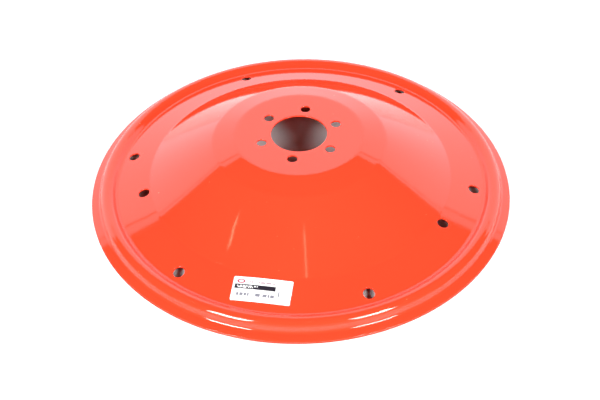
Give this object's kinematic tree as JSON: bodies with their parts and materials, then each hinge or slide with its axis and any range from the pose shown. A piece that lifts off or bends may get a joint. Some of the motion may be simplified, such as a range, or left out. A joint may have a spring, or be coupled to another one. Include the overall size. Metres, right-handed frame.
{
  "type": "dished flange disc",
  "caption": "Round pressed-steel flange disc with a raised hub pad, conical wall, bolting face, rim bead and brim, painted, with a paper label.",
  "frame": {"origin": "centre of the circle that the rim's lip stands on, on the disc's axis", "axes": "+Z along the centre bore, out of the raised side of the hub pad; -Y is the side of the paper label and the line that the two side holes are mirrored about; +X runs through an outer bolt hole"},
  "size_m": [0.543, 0.543, 0.08],
  "materials": {
    "disc_paint": "high gloss orange-red paint",
    "label_paper": "satin white self-adhesive label"
  },
  "bodies": {
    "root": {"pressed_disc": "disc_paint", "parts_label": "label_paper"}
  },
  "joints": []
}
